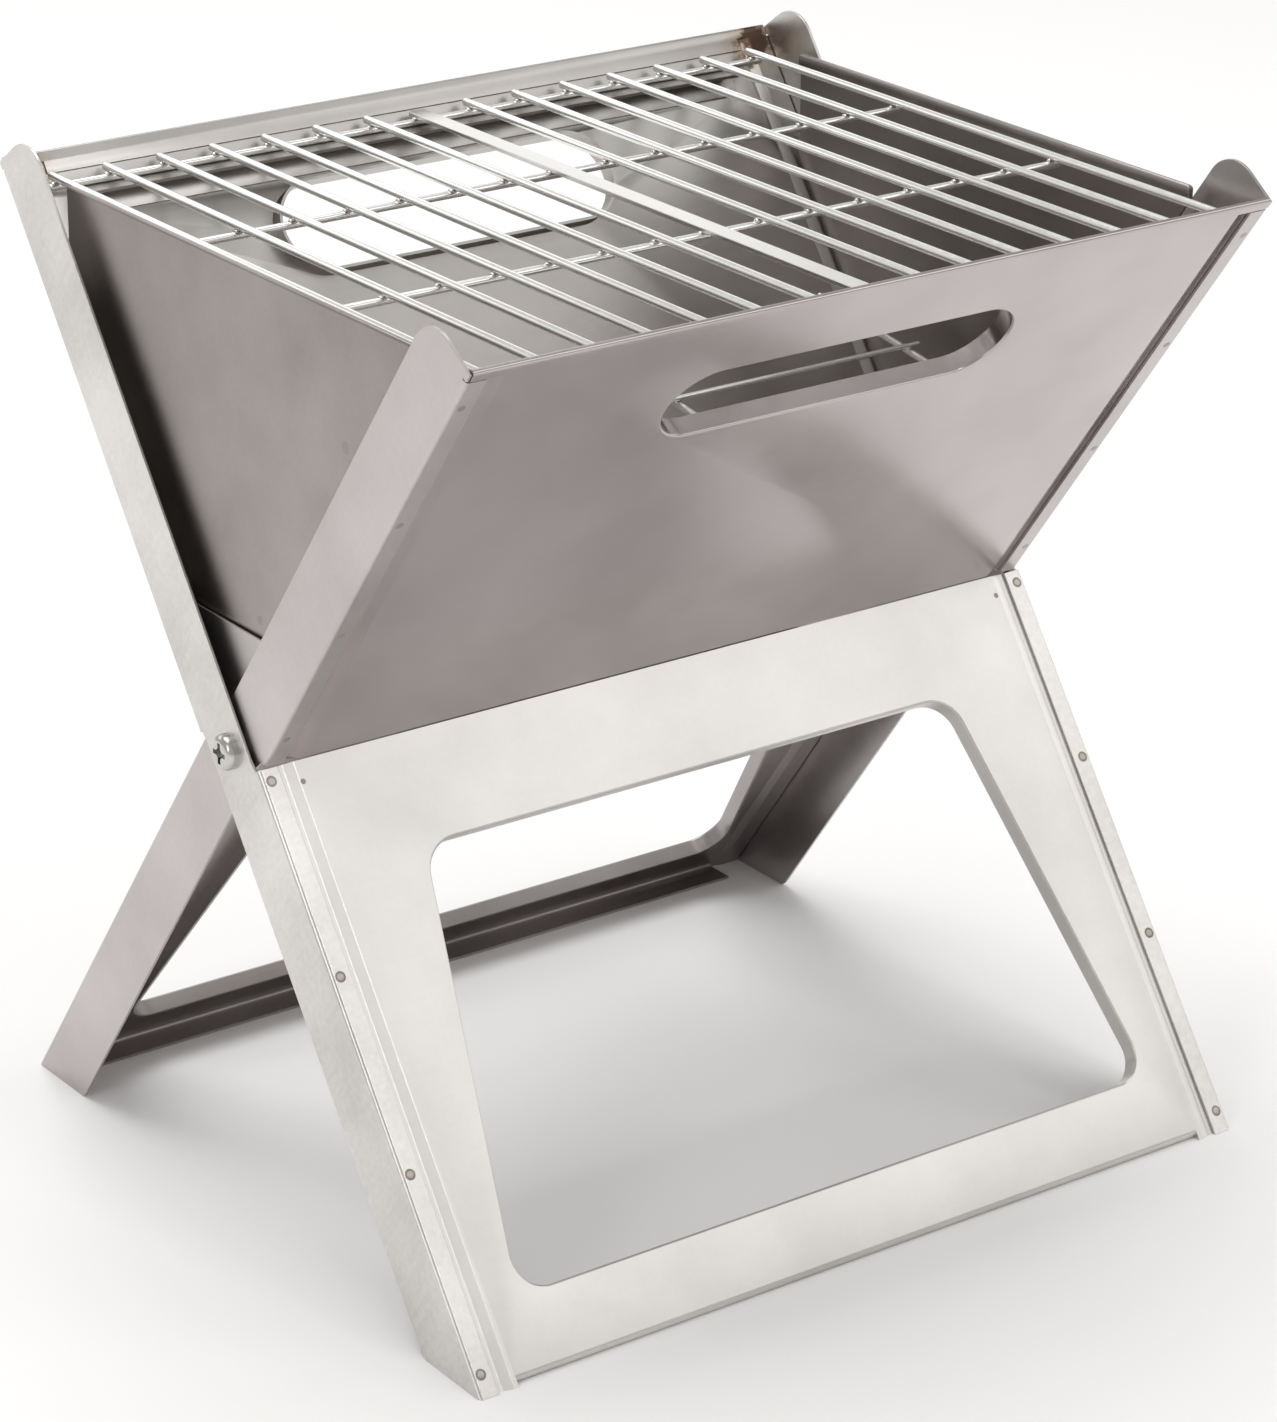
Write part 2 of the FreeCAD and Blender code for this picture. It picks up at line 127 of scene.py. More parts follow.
def build_rolled_sheet():
    """Rolled stainless: fine lengthwise grain, cloudy patches, mottle and slight waves."""
    group, enter, leave = new_group(
        "rolled_sheet",
        [
            ("Place", "Vector", None),
            ("Stretch", "Vector", (6.0, 700.0, 700.0)),
            ("Light", "Color", rgb(0.8, 0.8, 0.8)),
            ("Dark", "Color", rgb(0.6, 0.6, 0.6)),
            ("Grain", "Float", 0.3),
            ("Mottle", "Float", 0.3),
            ("Polish", "Float", 0.3),
            ("Unevenness", "Float", 0.1),
        ],
        [("Color", "Color"), ("Roughness", "Float"), ("Height", "Float")],
    )
    place = enter.outputs["Place"]
    along = vector_maths(group, "MULTIPLY", {0: place, 1: enter.outputs["Stretch"]})
    grain = speckle(group, along, 1.0, 3.0, 0.65)
    clouds = speckle(group, place, 14.0, 3.0, 0.55)
    mottle = speckle(group, place, 420.0, 2.0, 0.7)
    waves = speckle(group, place, 9.0, 1.0, 0.4)
    grain_off = maths(group, "SUBTRACT", grain, 0.5)
    mottle_off = maths(group, "SUBTRACT", mottle, 0.5)
    grain_part = maths(group, "MULTIPLY", grain_off, enter.outputs["Grain"])
    mottle_part = maths(group, "MULTIPLY", mottle_off, enter.outputs["Mottle"])
    cloud_part = spread(group, clouds, 0.3, 0.7, -0.5, 0.5)
    mix = maths(group, "ADD", maths(group, "ADD", grain_part, mottle_part), cloud_part)
    amount = maths(group, "ADD", mix, 0.5, clamp=True)
    colour = tint(group, amount, enter.outputs["Dark"], enter.outputs["Light"])
    rough = maths(group, "ADD", enter.outputs["Polish"], maths(group, "MULTIPLY", grain_part, 0.35))
    uneven = maths(group, "MULTIPLY", cloud_part, enter.outputs["Unevenness"])
    rough = maths(group, "ADD", rough, uneven, clamp=True)
    height = maths(group, "ADD", waves, maths(group, "MULTIPLY", grain, 0.003))
    group.links.new(colour, leave.inputs["Color"])
    group.links.new(rough, leave.inputs["Roughness"])
    group.links.new(height, leave.inputs["Height"])
    return group


def build_heat_tint():
    """Straw to brown tint round one point, broken up by noise."""
    group, enter, leave = new_group(
        "heat_tint",
        [
            ("Place", "Vector", None),
            ("Centre", "Vector", (0.0, 0.0, 0.0)),
            ("Reach", "Float", 0.01),
            ("Metal", "Color", rgb(0.7, 0.7, 0.7)),
        ],
        [("Color", "Color")],
    )
    place = enter.outputs["Place"]
    far = vector_maths(group, "DISTANCE", {0: place, 1: enter.outputs["Centre"]}, "Value")
    share = maths(group, "DIVIDE", far, enter.outputs["Reach"])
    noise = maths(group, "SUBTRACT", speckle(group, place, 260.0, 3.0, 0.7), 0.5)
    ragged = maths(group, "MULTIPLY", noise, 1.3)
    mask = spread(group, maths(group, "ADD", share, ragged), 0.35, 1.0, 1.0, 0.0)
    straw = tint(group, mask, enter.outputs["Metal"], rgb(0.40, 0.31, 0.22))
    core = spread(group, mask, 0.6, 1.0, 0.0, 1.0)
    brown = tint(group, core, straw, rgb(0.10, 0.065, 0.05))
    group.links.new(brown, leave.inputs["Color"])
    return group


ROLLED = build_rolled_sheet()
TINTED = build_heat_tint()


# ---------------------------------------------------------------- materials

def new_material(name, metallic=1.0):
    """Material with an empty metal shader."""
    made = bpy.data.materials.new(name)
    made.use_nodes = True
    tree = made.node_tree
    tree.nodes.clear()
    shader = put(tree, "ShaderNodeBsdfPrincipled", {"Metallic": metallic})
    put(tree, "ShaderNodeOutputMaterial", {"Surface": shader.outputs[0]})
    return made, tree, shader


def sheet_metal(name, light, dark, turn=0.0, stretch=(5.0, 620.0, 620.0), grain=0.5, mottle=0.25,
                polish=0.33, uneven=0.06, waviness=0.00025, heat=(), metallic=1.0):
    """Stainless sheet or wire.

    turn follows the lean of the piece, stretch sets the grain's fineness along each axis, and
    heat lists (point, reach) of weld tints.
    """
    made, tree, shader = new_material(name, metallic)
    where = put(tree, "ShaderNodeTexCoord").outputs["Object"]
    turned = put(tree, "ShaderNodeMapping", {"Vector": where, "Rotation": (turn, 0.0, 0.0)})
    surface = put(tree, "ShaderNodeGroup", {
        "Place": turned.outputs[0],
        "Stretch": stretch,
        "Light": light,
        "Dark": dark,
        "Grain": grain,
        "Mottle": mottle,
        "Polish": polish,
        "Unevenness": uneven,
    }, node_tree=ROLLED)
    colour = surface.outputs["Color"]
    for centre, reach in heat:
        burn = put(tree, "ShaderNodeGroup", {
            "Place": where, "Centre": centre, "Reach": reach, "Metal": colour,
        }, node_tree=TINTED)
        colour = burn.outputs["Color"]
    bump = put(tree, "ShaderNodeBump", {
        "Height": surface.outputs["Height"], "Strength": 1.0, "Distance": waviness,
    })
    tree.links.new(colour, shader.inputs["Base Color"])
    tree.links.new(surface.outputs["Roughness"], shader.inputs["Roughness"])
    tree.links.new(bump.outputs[0], shader.inputs["Normal"])
    return made


def in_frame(x, face, along, side=1):
    """Point on a leaning frame: side 1 is the outer frame, -1 the inner one."""
    y = face * math.cos(LEAN) + along * math.sin(LEAN)
    z = -face * math.sin(LEAN) + along * math.cos(LEAN)
    return Vector((x, side * y, z)) + PIVOT


# WARM and WARM_DARK are the inner arms' greys, set darker than the outer arms' as painted shade.
WARM = rgb(0.59, 0.555, 0.55)
WARM_DARK = rgb(0.47, 0.435, 0.43)

ARM_GRAIN = (500.0, 500.0, 40.0)         # runs up and down the arm
EVEN_GRAIN = (800.0, 800.0, 800.0)       # no direction, as on a scorched spot
CORNER_X = 0.1425                        # welded top corners of the rear wall
CORNER_RISE = 0.197                      # up the wall from the screw line

# Outer arms: the same steel set lighter, as painted light for their lit faces; Light and Dark span the
# tones from their lit top down to mid height.
arm_outer_painted_light_metal = sheet_metal(
    "arm_outer_painted_light_metal", rgb(0.76, 0.74, 0.71), rgb(0.54, 0.52, 0.50),
    turn=-LEAN, stretch=ARM_GRAIN, grain=0.5, mottle=0.7, polish=0.33,
)
# Inner arms: the same steel set darker, as painted shade for their shaded place by the firebox.
arm_inner_painted_shade_metal = sheet_metal(
    "arm_inner_painted_shade_metal", WARM, WARM_DARK,
    turn=LEAN, stretch=ARM_GRAIN, grain=0.4, mottle=0.4, polish=0.33,
)
# Front leg panel: the same steel set lighter, as painted light for its brightly lit face.
leg_metal = sheet_metal(
    "leg_metal", rgb(0.70, 0.68, 0.65), rgb(0.54, 0.52, 0.50),
    turn=-LEAN, grain=0.16, mottle=0.22, polish=0.33,
)
# Rear leg panel: the same steel set much darker, as painted shade for its shaded inner face.
rear_leg_painted_shade_metal = sheet_metal(
    "rear_leg_painted_shade_metal", rgb(0.46, 0.43, 0.42), rgb(0.34, 0.31, 0.305), turn=LEAN,
)
front_wall_metal = sheet_metal(
    "front_wall_metal", rgb(0.57, 0.52, 0.52), rgb(0.46, 0.415, 0.415),
    turn=LEAN, grain=0.18, mottle=0.15, polish=0.22,
)
INSIDE_REAR = WALL_FACE - 0.002
rear_wall_metal = sheet_metal(
    "rear_wall_metal", rgb(0.50, 0.48, 0.455), rgb(0.39, 0.37, 0.35), turn=-LEAN, polish=0.32,
    heat=[
        (in_frame(CORNER_X, INSIDE_REAR, CORNER_RISE), 0.013),
        (in_frame(-CORNER_X, INSIDE_REAR, CORNER_RISE), 0.009),
    ],
)
# Side panels: the darkest sheet, as painted shade for the shade between the arms and the walls.
side_painted_shade_metal = sheet_metal(
    "side_painted_shade_metal", rgb(0.39, 0.355, 0.34), rgb(0.27, 0.245, 0.235),
    grain=0.2, mottle=0.3, polish=0.33,
)
tray_metal = sheet_metal(
    "tray_metal", rgb(0.54, 0.51, 0.49), rgb(0.42, 0.395, 0.38),
    grain=0.3, mottle=0.3, polish=0.34,
)
wire_metal = sheet_metal(
    "wire_metal", rgb(0.93, 0.925, 0.90), rgb(0.84, 0.83, 0.81), stretch=(300.0, 300.0, 300.0),
    grain=0.5, mottle=0.3, polish=0.20, uneven=0.05, waviness=0.00004, metallic=0.8,
)
centre_bar_metal = sheet_metal(
    "centre_bar_metal", rgb(0.80, 0.79, 0.77), rgb(0.68, 0.67, 0.65), stretch=(500.0, 8.0, 500.0),
    grain=0.4, mottle=0.3, polish=0.30, waviness=0.00008,
)
nugget_metal = sheet_metal(
    "nugget_metal", rgb(0.82, 0.81, 0.79), rgb(0.52, 0.47, 0.43), stretch=(900.0, 900.0, 900.0),
    grain=0.9, mottle=0.9, polish=0.24, waviness=0.0001,
)
screw_metal = sheet_metal(
    "screw_metal", rgb(0.60, 0.59, 0.57), rgb(0.44, 0.43, 0.41), stretch=(60.0, 900.0, 900.0),
    grain=0.5, mottle=0.5, polish=0.20, waviness=0.00005,
)
spot_metal = sheet_metal(
    "spot_metal", rgb(0.54, 0.50, 0.46), rgb(0.38, 0.34, 0.30), stretch=EVEN_GRAIN,
    grain=0.9, mottle=0.9, polish=0.42, waviness=0.00012,
)
scorch_metal = sheet_metal(
    "scorch_metal", rgb(0.34, 0.31, 0.28), rgb(0.20, 0.175, 0.155), stretch=EVEN_GRAIN,
    grain=0.9, mottle=0.9, polish=0.45,
)
faint_metal = sheet_metal(
    "faint_metal", rgb(0.44, 0.41, 0.40), rgb(0.34, 0.31, 0.30), stretch=EVEN_GRAIN,
    grain=0.9, mottle=0.9, polish=0.40,
)
side_mark_metal = sheet_metal(
    "side_mark_metal", rgb(0.38, 0.34, 0.33), rgb(0.24, 0.21, 0.20), stretch=EVEN_GRAIN,
    grain=0.6, mottle=0.6, polish=0.36,
)

METAL_OF = {
    "outer_arm_right": arm_outer_painted_light_metal,
    "outer_arm_left": arm_outer_painted_light_metal,
    "inner_arm_right": arm_inner_painted_shade_metal,
    "inner_arm_left": arm_inner_painted_shade_metal,
    "front_leg_panel": leg_metal,
    "rear_leg_panel": rear_leg_painted_shade_metal,
    "front_wall": front_wall_metal,
    "rear_wall": rear_wall_metal,
    "side_panel_right": side_painted_shade_metal,
    "side_panel_left": side_painted_shade_metal,
    "ash_tray": tray_metal,
}


# ---------------------------------------------------------------- sheet pieces with softened edges

def soften(node, metal, width):
    """Copy of a sheet piece whose cut edges are slightly broken, as deburred sheet is."""
    source = frame["nodes"][node]
    mesh = source.data.copy()
    mesh.name = node + "_sheet"
    work = bmesh.new()
    work.from_mesh(mesh)
    bmesh.ops.remove_doubles(work, verts=work.verts, dist=1e-6)
    bmesh.ops.dissolve_limit(work, angle_limit=math.radians(0.5), verts=work.verts, edges=work.edges)
    work.to_mesh(mesh)
    work.free()
    mesh.materials.clear()
    mesh.materials.append(metal)
    piece = bpy.data.objects.new(node + "_sheet", mesh)
    bpy.context.collection.objects.link(piece)
    broken = piece.modifiers.new("broken_edges", "BEVEL")
    broken.width = width
    broken.segments = 2
    broken.limit_method = "ANGLE"
    broken.angle_limit = math.radians(50.0)
    broken.use_clamp_overlap = True
    mesh.shade_smooth()
    mesh.set_sharp_from_angle(angle=math.radians(30.0))
    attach(piece, BODY_OF[node])
    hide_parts(node)
    return piece


# ---------------------------------------------------------------- repeated pieces, grown by geometry nodes

def new_growth(name, inputs):
    """Geometry node group with named inputs and one geometry output."""
    group = bpy.data.node_groups.new(name, "GeometryNodeTree")
    group.is_modifier = True
    group.interface.new_socket("Geometry", in_out="OUTPUT", socket_type="NodeSocketGeometry")
    for label, kind, value in inputs:
        socket = group.interface.new_socket(label, in_out="INPUT", socket_type="NodeSocket" + kind)
        if value is not None:
            socket.default_value = value
    return group, put(group, "NodeGroupInput"), put(group, "NodeGroupOutput")


def finish_growth(group, enter, leave, geometry):
    """Turn the grown geometry into real faces, give it its metal and hand it out."""
    real = put(group, "GeometryNodeRealizeInstances", {"Geometry": geometry}).outputs[0]
    metal = enter.outputs["Metal"]
    dressed = put(group, "GeometryNodeSetMaterial", {"Geometry": real, "Material": metal})
    group.links.new(dressed.outputs[0], leave.inputs[0])
    return group


ROW = [
    ("First", "Vector", None),
    ("Step", "Vector", None),
    ("Count", "Int", 1),
    ("Metal", "Material", None),
]


def row_points(group, enter):
    """Points of an even row."""
    return put(group, "GeometryNodeMeshLine", {
        "Count": enter.outputs["Count"],
        "Start Location": enter.outputs["First"],
        "Offset": enter.outputs["Step"],
    }, mode="OFFSET").outputs[0]


def build_wire_row():
    """Row of wires with slightly rounded ends; Rise bends each one up from its middle."""
    group, enter, leave = new_growth("wire_row", ROW + [
        ("Run", "Vector", None), ("Radius", "Float", MM), ("Rise", "Float", 0.0),
    ])
    radius = enter.outputs["Radius"]
    length = vector_maths(group, "LENGTH", {0: enter.outputs["Run"]}, "Value")
    half = maths(group, "MULTIPLY", length, 0.5)
    along = vector_maths(group, "NORMALIZE", {0: enter.outputs["Run"]})
    line = put(group, "GeometryNodeCurvePrimitiveLine", {"End": enter.outputs["Run"]}).outputs[0]
    spine = put(group, "GeometryNodeResampleCurve", {"Curve": line, "Count": 13}).outputs[0]
    index = put(group, "GeometryNodeInputIndex").outputs[0]
    # Points 0 to 5 and 7 to 12 sit in the two rounded ends, point 6 in the middle.
    from_end = maths(group, "MINIMUM", index, maths(group, "SUBTRACT", 12.0, index))
    share = maths(group, "DIVIDE", from_end, 5.0, clamp=True)
    rounding = maths(group, "MULTIPLY", radius, 0.45)
    central = maths(group, "GREATER_THAN", from_end, 5.5)
    near_end = maths(group, "MULTIPLY", share, rounding)
    inset = put(group, "ShaderNodeMix", {0: central, 2: near_end, 3: half}).outputs[0]
    beyond = maths(group, "GREATER_THAN", index, 6.5)
    far = maths(group, "SUBTRACT", length, inset)
    place = put(group, "ShaderNodeMix", {0: beyond, 2: inset, 3: far}).outputs[0]
    off_middle = maths(group, "ABSOLUTE", maths(group, "SUBTRACT", place, half))
    rise = maths(group, "MULTIPLY", off_middle, enter.outputs["Rise"])
    lift = put(group, "ShaderNodeCombineXYZ", {"Z": rise})
    forward = vector_maths(group, "SCALE", {0: along, "Scale": place})
    moved = vector_maths(group, "ADD", {0: forward, 1: lift.outputs[0]})
    bent = put(group, "GeometryNodeSetPosition", {"Geometry": spine, "Position": moved}).outputs[0]
    gap = maths(group, "SUBTRACT", 1.0, share)
    arc = maths(group, "SQRT", maths(group, "SUBTRACT", 1.0, maths(group, "MULTIPLY", gap, gap)))
    thickness = maths(group, "ADD", maths(group, "MULTIPLY", arc, 0.45), 0.55)
    ring = put(group, "GeometryNodeCurvePrimitiveCircle", {"Resolution": 16, "Radius": radius}).outputs[0]
    tube = put(group, "GeometryNodeCurveToMesh", {
        "Curve": bent, "Profile Curve": ring, "Scale": thickness, "Fill Caps": True,
    }).outputs[0]
    smooth = put(group, "GeometryNodeSetShadeSmooth", {"Geometry": tube}).outputs[0]
    row = put(group, "GeometryNodeInstanceOnPoints", {
        "Points": row_points(group, enter), "Instance": smooth,
    })
    return finish_growth(group, enter, leave, row.outputs[0])


def build_nugget_row():
    """Row of small resistance-weld beads, no two alike."""
    group, enter, leave = new_growth("nugget_row", ROW + [("Size", "Vector", None), ("Seed", "Int", 0)])
    ball = put(group, "GeometryNodeMeshUVSphere", {"Segments": 9, "Rings": 6, "Radius": 1.0}).outputs[0]
    smooth = put(group, "GeometryNodeSetShadeSmooth", {"Geometry": ball}).outputs[0]
    seed = enter.outputs["Seed"]
    vary = put(group, "FunctionNodeRandomValue", {"Seed": seed}, data_type="FLOAT_VECTOR")
    vary.inputs["Min"].default_value = (0.8, 0.75, 0.7)
    vary.inputs["Max"].default_value = (1.15, 1.2, 1.25)
    size = vector_maths(group, "MULTIPLY", {0: enter.outputs["Size"], 1: vary.outputs["Value"]})
    row = put(group, "GeometryNodeInstanceOnPoints", {
        "Points": row_points(group, enter), "Instance": smooth, "Scale": size,
    })
    real = put(group, "GeometryNodeRealizeInstances", {"Geometry": row.outputs[0]}).outputs[0]
    spot = put(group, "GeometryNodeInputPosition").outputs[0]
    lumps = maths(group, "SUBTRACT", speckle(group, spot, 900.0), 0.5)
    normal = put(group, "GeometryNodeInputNormal").outputs[0]
    depth = maths(group, "MULTIPLY", lumps, 0.0007)
    push = vector_maths(group, "SCALE", {0: normal, "Scale": depth})
    rough = put(group, "GeometryNodeSetPosition", {"Geometry": real, "Offset": push}).outputs[0]
    return finish_growth(group, enter, leave, rough)


def build_button_row():
    """Row of low round domes that face one way, as left by a spot welder."""
    group, enter, leave = new_growth("button_row", ROW + [
        ("Facing", "Vector", None), ("Radius", "Float", MM), ("Height", "Float", 0.1 * MM),
    ])
    ball = put(group, "GeometryNodeMeshUVSphere", {"Segments": 24, "Rings": 10, "Radius": 1.0}).outputs[0]
    smooth = put(group, "GeometryNodeSetShadeSmooth", {"Geometry": ball}).outputs[0]
    radius = enter.outputs["Radius"]
    height = enter.outputs["Height"]
    facing = enter.outputs["Facing"]
    size = put(group, "ShaderNodeCombineXYZ", {"X": radius, "Y": radius, "Z": height}).outputs[0]
    turn = put(group, "FunctionNodeAlignRotationToVector", {"Vector": facing}, axis="Z").outputs[0]
    row = put(group, "GeometryNodeInstanceOnPoints", {
        "Points": row_points(group, enter), "Instance": smooth, "Rotation": turn, "Scale": size,
    })
    return finish_growth(group, enter, leave, row.outputs[0])


WIRE_ROW = build_wire_row()
NUGGET_ROW = build_nugget_row()
BUTTON_ROW = build_button_row()


def grown_mesh(group, values):
    """Mesh made by a geometry node group from named values."""
    carrier = bpy.data.objects.new("carrier", bpy.data.meshes.new("carrier"))
    bpy.context.collection.objects.link(carrier)
    modifier = carrier.modifiers.new("growth", "NODES")
    modifier.node_group = group
    for item in group.interface.items_tree:
        if item.in_out == "INPUT" and item.name in values:
            modifier[item.identifier] = values[item.name]
    seen = carrier.evaluated_get(bpy.context.evaluated_depsgraph_get())
    mesh = bpy.data.meshes.new_from_object(seen)
    empty = carrier.data
    bpy.data.objects.remove(carrier)
    bpy.data.meshes.remove(empty)
    return mesh


def as_piece(name, meshes, body, nodes):
    """One smooth object from grown meshes, riding on a body and standing in for its nodes."""
    work = bmesh.new()
    metals = []
    for mesh in meshes:
        before = len(work.faces)
        work.from_mesh(mesh)
        work.faces.ensure_lookup_table()
        metal = mesh.materials[mesh.polygons[0].material_index]
        if metal not in metals:
            metals.append(metal)
        for face in work.faces[before:]:
            face.material_index = metals.index(metal)
    whole = bpy.data.meshes.new(name)
    work.to_mesh(whole)
    work.free()
    for metal in metals:
        whole.materials.append(metal)
    piece = bpy.data.objects.new(name, whole)
    bpy.context.collection.objects.link(piece)
    whole.set_sharp_from_angle(angle=math.radians(50.0))
    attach(piece, body)
    for node in nodes:
        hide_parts(node)
    return piece


# ---------------------------------------------------------------- sheet pieces, screws and centre bar

SHEET_EDGE = 0.18 * MM           # how much of a cut edge is broken
BAR_EDGE = 0.2 * MM

for node_name, sheet_material in METAL_OF.items():
    soften(node_name, sheet_material, SHEET_EDGE)

soften("grid_centre_bar", centre_bar_metal, BAR_EDGE)

for node_name in BODY_OF:
    if node_name.startswith("pivot_"):
        shown = frame["nodes"][node_name]
        shown.data.materials.clear()
        shown.data.materials.append(screw_metal)


# ---------------------------------------------------------------- cooking grid and charcoal grate

BAR = 1.4 * MM                              # radii of the wires
CROSS = 1.25 * MM
GRATE_WIRE = 1.0 * MM
RUNNER = 1.25 * MM

WIRE_Z = PIVOT.z + 146.2 * MM + CROSS       # cross wires of the cooking grid
BAR_Z = WIRE_Z + CROSS + BAR
BAR_PITCH = 19.5 * MM
BARS_A_SIDE = 7                             # each side of the flat centre bar
BAR_STARTS = (-BARS_A_SIDE * BAR_PITCH, BAR_PITCH)
BAR_LENGTH = 0.242
CROSS_LENGTH = 0.279
CROSS_AT = (-0.117, -0.040, 0.040, 0.117)

GRATE_Z = PIVOT.z + 67.0 * MM               # lowest point of the runners
GRATE_SLOPE = math.radians(8.0)
GRATE_RISE = math.tan(GRATE_SLOPE)
GRATE_PITCH = 20.0 * MM
GRATE_LENGTH = 0.267
RUNNER_AT = (-0.130, -0.034, 0.034, 0.130)
RUNNER_HALF = 69.6 * MM
SINGLE = (0.0, 0.0, 0.0)                    # step of a row that holds one thing

BAR_BEAD = (0.85 * MM, 1.1 * MM, 0.75 * MM)
CENTRE_BEAD = (0.8 * MM, 1.1 * MM, 0.6 * MM)
GRATE_BEAD = (1.1 * MM, 0.8 * MM, 0.6 * MM)


def wires(first, step, count, run, radius, rise=0.0):
    """Row of straight wires, or of wires bent up from the middle."""
    return grown_mesh(WIRE_ROW, {
        "First": first, "Step": step, "Count": count,
        "Run": run, "Radius": radius, "Rise": rise, "Metal": wire_metal,
    })


def nuggets(first, step, count, size, seed):
    """Row of weld beads."""
    return grown_mesh(NUGGET_ROW, {
        "First": first, "Step": step, "Count": count,
        "Size": size, "Seed": seed, "Metal": nugget_metal,
    })


def build_grid():
    """Bars, cross wires and a bead on each side of every crossing."""
    pitch = (BAR_PITCH, 0.0, 0.0)
    run = (0.0, BAR_LENGTH, 0.0)
    bars = [wires((x, -0.5 * BAR_LENGTH, BAR_Z), pitch, BARS_A_SIDE, run, BAR) for x in BAR_STARTS]
    as_piece("grid_bars_round", bars, "cooking_grid", ["grid_bars"])
    beads = []
    for number, y in enumerate(CROSS_AT, start=1):
        end = (-0.5 * CROSS_LENGTH, y, WIRE_Z)
        cross = wires(end, pitch, 1, (CROSS_LENGTH, 0.0, 0.0), CROSS)
        node = "grid_cross_wire_%d" % number
        as_piece(node + "_round", [cross], "cooking_grid", [node])
        for side in (-1, 1):
            for start in BAR_STARTS:
                first = (start + side * 1.55 * MM, y, WIRE_Z + 1.15 * MM)
                beads.append(nuggets(first, pitch, BARS_A_SIDE, BAR_BEAD, 10 * number + side))
            first = (side * 3.4 * MM, y, WIRE_Z + 1.1 * MM)
            beads.append(nuggets(first, pitch, 1, CENTRE_BEAD, 50 + number))
    as_piece("grid_weld_beads", beads, "cooking_grid", [])


def build_grate():
    """Long wires over bent runners, with a bead at every crossing."""
    over = (GRATE_WIRE + RUNNER) / math.cos(GRATE_SLOPE)
    long_run = (GRATE_LENGTH, 0.0, 0.0)
    long_wires = []
    beads = []
    for step in range(-3, 4):
        y = step * GRATE_PITCH
        z = GRATE_Z + abs(y) * GRATE_RISE
        long_wires.append(wires((-0.5 * GRATE_LENGTH, y, z + over), SINGLE, 1, long_run, GRATE_WIRE))
        for number, x in enumerate(RUNNER_AT):
            first = (x, y + 1.1 * MM, z + 1.2 * MM)
            beads.append(nuggets(first, SINGLE, 1, GRATE_BEAD, 70 + 5 * step + number))
    grate = "charcoal_grate"
    as_piece("grate_long_wires_round", long_wires, grate, ["grate_long_wires"])
    across = (0.0, 2 * RUNNER_HALF, 0.0)
    runners = [
        wires((x, -RUNNER_HALF, GRATE_Z), SINGLE, 1, across, RUNNER, GRATE_RISE) for x in RUNNER_AT
    ]
    as_piece("grate_runners_round", runners, grate, ["grate_runners"])
    as_piece("grate_weld_beads", beads, grate, [])


# ---------------------------------------------------------------- spot welds

SPOTS_A_LIP = 4
LIP_MIDDLE = 3.2 * MM            # from the outside of the frame to the line of spots
LEG_SPOT_PITCH = -0.0627
WALL_SPOT_PITCH = 0.054
MARK_X = 0.1435                  # outside of a side panel
MARKS = ((-0.059, 0.113, 2.0 * MM), (-0.010, 0.0445, 1.4 * MM))


def spots(first, step, count, facing, radius, height, metal):
    """Row of low round domes."""
    return grown_mesh(BUTTON_ROW, {
        "First": first, "Step": step, "Count": count, "Facing": facing,
        "Radius": radius, "Height": height, "Metal": metal,
    })


def build_spot_welds():
    """Four spot welds down each lip: scorched round the legs, faint on the walls."""
    for body, half, side in (("outer_frame", OUTER_HALF, 1), ("inner_frame", INNER_HALF, -1)):
        down = in_frame(0.0, 0.0, LEG_SPOT_PITCH, side) - PIVOT
        up = in_frame(0.0, 0.0, WALL_SPOT_PITCH, side) - PIVOT
        facing = in_frame(0.0, -1.0, 0.0, side) - PIVOT
        rings = []
        for x in (-half + LIP_MIDDLE, half - LIP_MIDDLE):
            leg = in_frame(x, -LEG_FACE, -0.0145, side)
            rings.append(spots(leg, down, SPOTS_A_LIP, facing, 1.8 * MM, 0.05 * MM, scorch_metal))
            rings.append(spots(leg, down, SPOTS_A_LIP, facing, 1.2 * MM, 0.10 * MM, spot_metal))
            wall = in_frame(x, WALL_FACE, 0.024, side)
            rings.append(spots(wall, up, SPOTS_A_LIP, -facing, 1.3 * MM, 0.04 * MM, faint_metal))
            inside = in_frame(x * 0.93, -LEG_FACE, -0.017, side)
            rings.append(spots(inside, up, 1, facing, 0.9 * MM, 0.05 * MM, scorch_metal))
        as_piece(body + "_spot_welds", rings, body, [])


def build_side_marks():
    """Two small press marks on the outside of each side panel."""
    for body, way in (("side_panel_right", 1), ("side_panel_left", -1)):
        facing = (way, 0.0, 0.0)
        marks = []
        for y, z, radius in MARKS:
            at = (way * MARK_X, y, z + PIVOT.z)
            marks.append(spots(at, SINGLE, 1, facing, radius, 0.06 * MM, side_mark_metal))
        as_piece(body + "_marks", marks, body, [])


build_grid()
build_grate()
build_spot_welds()
build_side_marks()


# ---------------------------------------------------------------- stage, light and camera

def plain(name, colour, roughness):
    """Even matt paint."""
    made, tree, shader = new_material(name, 0.0)
    shader.inputs["Base Color"].default_value = colour
    shader.inputs["Roughness"].default_value = roughness
    return made


def build_floor():
    """Wide pale floor."""
    work = bmesh.new()
    bmesh.ops.create_circle(work, cap_ends=True, segments=96, radius=40.0)
    mesh = bpy.data.meshes.new("floor")
    work.to_mesh(mesh)
    work.free()
    mesh.materials.append(plain("floor_paint", rgb(0.93, 0.925, 0.92), 0.9))
    floor = bpy.data.objects.new("floor", mesh)
    bpy.context.collection.objects.link(floor)


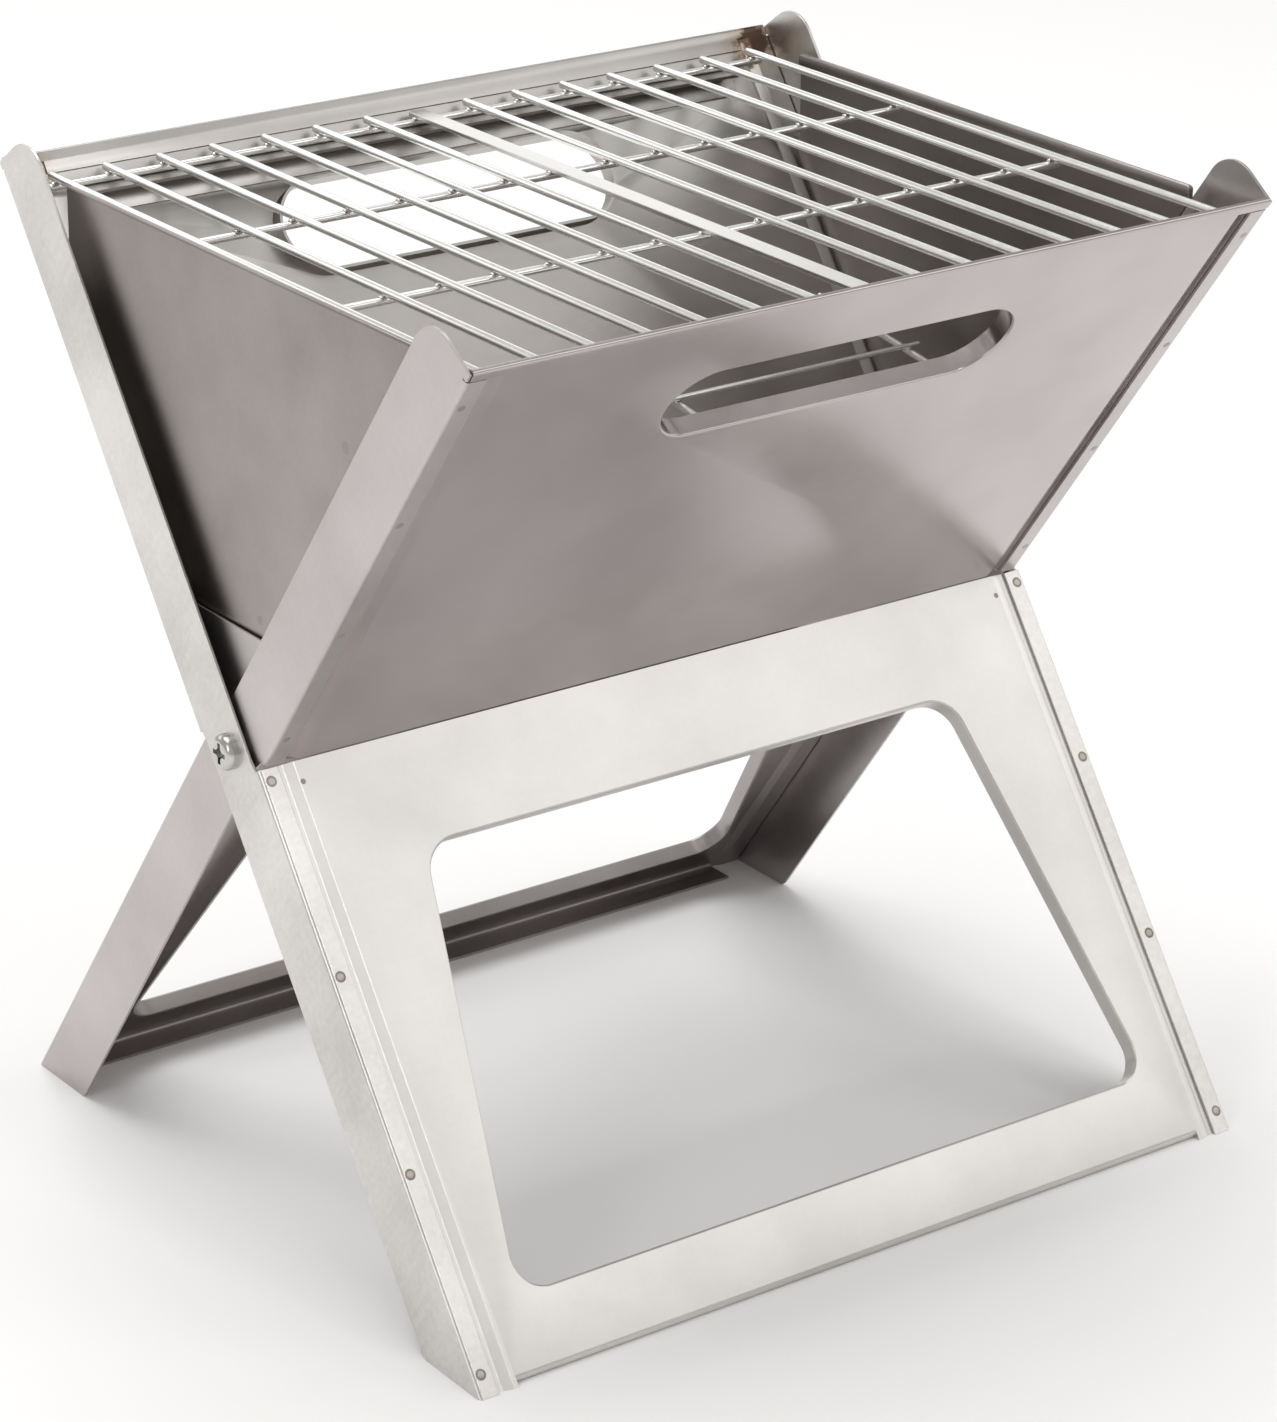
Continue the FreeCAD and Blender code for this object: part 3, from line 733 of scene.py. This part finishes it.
def area_light(name, at, toward, width, height, power):
    """White soft box that faces a point."""
    data = bpy.data.lights.new(name, "AREA")
    data.shape = "RECTANGLE"
    data.size = width
    data.size_y = height
    data.energy = power
    lamp = bpy.data.objects.new(name, data)
    lamp.location = at
    lamp.rotation_mode = "QUATERNION"
    lamp.rotation_quaternion = (Vector(toward) - Vector(at)).to_track_quat("-Z", "Y")
    bpy.context.collection.objects.link(lamp)


def build_lights():
    """Soft boxes all round: wide ones for the flat faces, narrow ones for a line along each fold."""
    middle = (0.0, 0.0, 0.16)
    area_light("leg_box", (1.65, -1.7, 1.75), middle, 1.4, 1.3, 6.3)
    area_light("right_box", (2.3, -0.5, 0.85), middle, 1.0, 1.1, 4.5)
    area_light("front_box", (0.35, -1.95, 1.95), middle, 0.45, 1.0, 6.0)
    area_light("back_box", (0.0, 2.5, 1.4), middle, 4.2, 1.0, 12.5)
    area_light("left_box", (-2.1, -0.85, 1.25), middle, 0.7, 1.2, 8.0)
    area_light("top_box", (0.0, 0.6, 2.6), middle, 2.2, 1.6, 36.0)
    world = bpy.data.worlds.new("studio")
    world.use_nodes = True
    sky = world.node_tree.nodes["Background"]
    sky.inputs["Color"].default_value = rgb(0.97, 0.96, 0.95)
    sky.inputs["Strength"].default_value = 0.55
    bpy.context.scene.world = world
    bpy.context.scene.view_settings.view_transform = "Standard"


def build_camera():
    """Long-lens camera in front and to the left, looking down on the grill."""
    data = bpy.data.cameras.new("camera")
    data.lens = 117.87
    data.clip_start = 0.05
    data.clip_end = 50.0
    camera = bpy.data.objects.new("camera", data)
    right = Vector((0.80903, -0.58772, 0.00746))
    down = Vector((-0.21938, -0.31371, -0.92383))
    ahead = Vector((0.54529, 0.74577, -0.38274))
    camera.location = (-0.8175, -1.1237, 0.7154)
    camera.rotation_mode = "QUATERNION"
    camera.rotation_quaternion = Matrix((right, -down, -ahead)).transposed().to_quaternion()
    bpy.context.collection.objects.link(camera)
    bpy.context.scene.camera = camera


build_floor()
build_lights()
build_camera()
